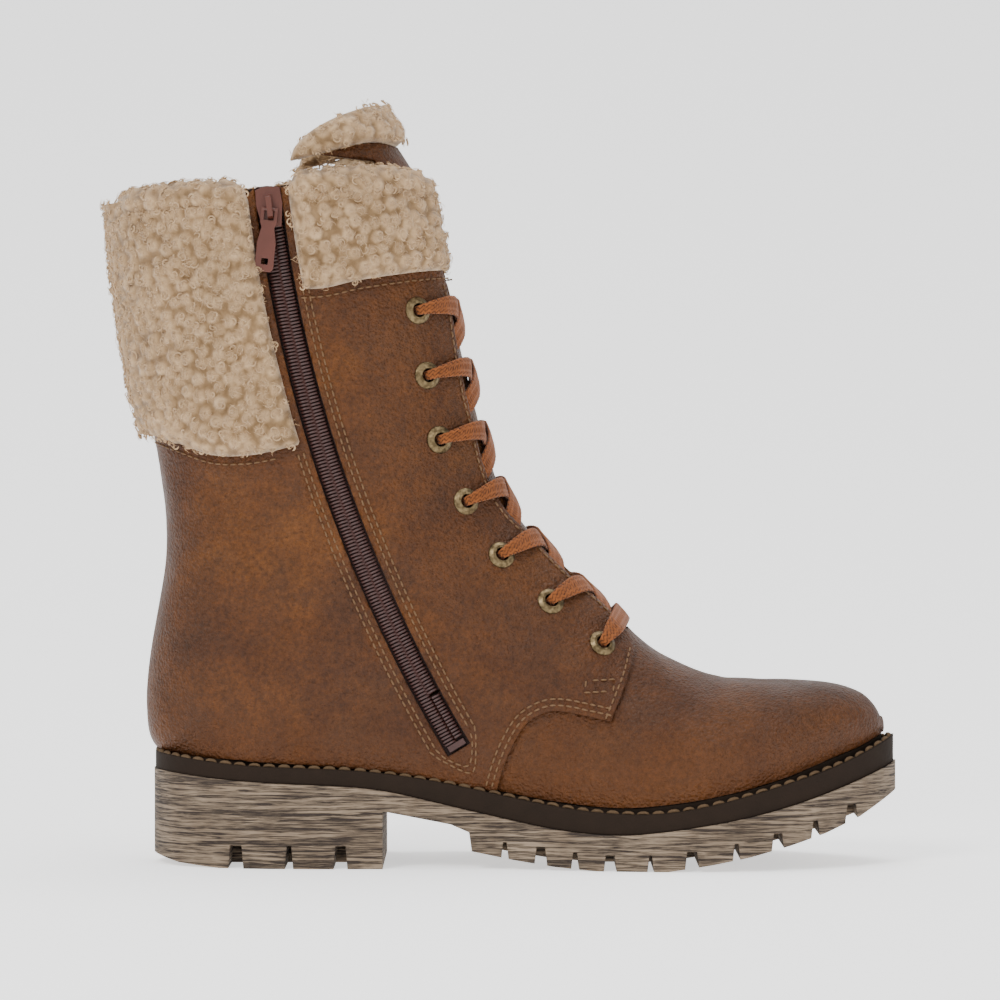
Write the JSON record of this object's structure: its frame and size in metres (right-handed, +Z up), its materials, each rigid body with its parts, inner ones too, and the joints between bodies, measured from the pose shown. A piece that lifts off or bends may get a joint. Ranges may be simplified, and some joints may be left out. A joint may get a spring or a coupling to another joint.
{
  "type": "winter boot",
  "caption": "Left lace-up winter ankle boot with fleece cuff, inner side zip that lets a flap fold open, and a lugged unit sole with a low heel.",
  "frame": {"origin": "centre of the boot's bounding box on the ground, Z = 0 under the heel and the ball of the foot", "axes": "+X to the toe, +Z up, -Y the inner (medial) side with the zip; this is a left boot"},
  "size_m": [0.2874, 0.0984, 0.2738],
  "materials": {
    "leather_brown": "satin",
    "tongue_leather": "satin",
    "fleece": "matte",
    "lining": "matte",
    "sole_rubber": "matte",
    "welt_rubber": "matte",
    "foam": "matte",
    "board": "matte",
    "stiffener": "matte",
    "steel": "brushed",
    "zip_tape": "matte",
    "zip_coil": "gloss",
    "zip_metal": "satin",
    "eyelet_brass": "satin",
    "lace_cord": "matte",
    "aglet_plastic": "gloss"
  },
  "bodies": {
    "upper": {"outsole": "sole_rubber", "welt": "welt_rubber", "midsole_core": "foam", "shank": "steel", "insole_board": "board", "footbed_foam": "foam", "footbed_fleece": "lining", "vamp": "leather_brown", "toe_puff": "stiffener", "heel_counter": "stiffener", "quarter_medial": "leather_brown", "quarter_lateral": "leather_brown", "cuff_rear_medial": "fleece", "cuff_front_medial": "fleece", "cuff_rear_lateral": "fleece", "cuff_front_lateral": "fleece", "lining_vamp": "lining", "lining_shaft": "lining", "padding": "foam", "tongue_leather": "tongue_leather", "tongue_fleece": "lining", "tongue_trim": "fleece", "zip_tape_rear": "zip_tape", "zip_end_tape": "zip_tape", "zip_coil_rear": "zip_coil", "zip_end_coil": "zip_coil", "zip_bottom_stop": "zip_metal", "eyelets_medial": "eyelet_brass", "eyelets_lateral": "eyelet_brass", "lace": "lace_cord", "aglets": "aglet_plastic"},
    "flap": {"zip_flap": "leather_brown", "cuff_flap": "fleece", "lining_flap": "lining", "zip_tape_front": "zip_tape", "zip_coil_front": "zip_coil"},
    "slider": {"zip_slider": "zip_metal"},
    "pull": {"zip_pull": "zip_metal"}
  },
  "joints": [
    {"name": "zip_slide", "type": "hinge", "parent": "upper", "child": "slider", "pos_m": [0.40814, -0.03557, 0.2986], "axis": [0, -1, 0], "range_deg": [0, 22.4]},
    {"name": "pull_tab", "type": "hinge", "parent": "slider", "child": "pull", "pos_m": [-0.0818, -0.04002, 0.23536], "axis": [-0.995, 0, 0.0995], "range_deg": [0, 135]},
    {"name": "flap_open", "type": "hinge", "parent": "upper", "child": "flap", "pos_m": [-0.01096, -0.03677, 0.047], "axis": [-0.169, 0.002, 0.9856], "range_deg": [0, 45.5], "deforming": ["zip_tape_front", "zip_coil_front"]}
  ],
  "couplings": [
    {"joint": "flap_open", "follows": "zip_slide", "ratio": 2}
  ]
}
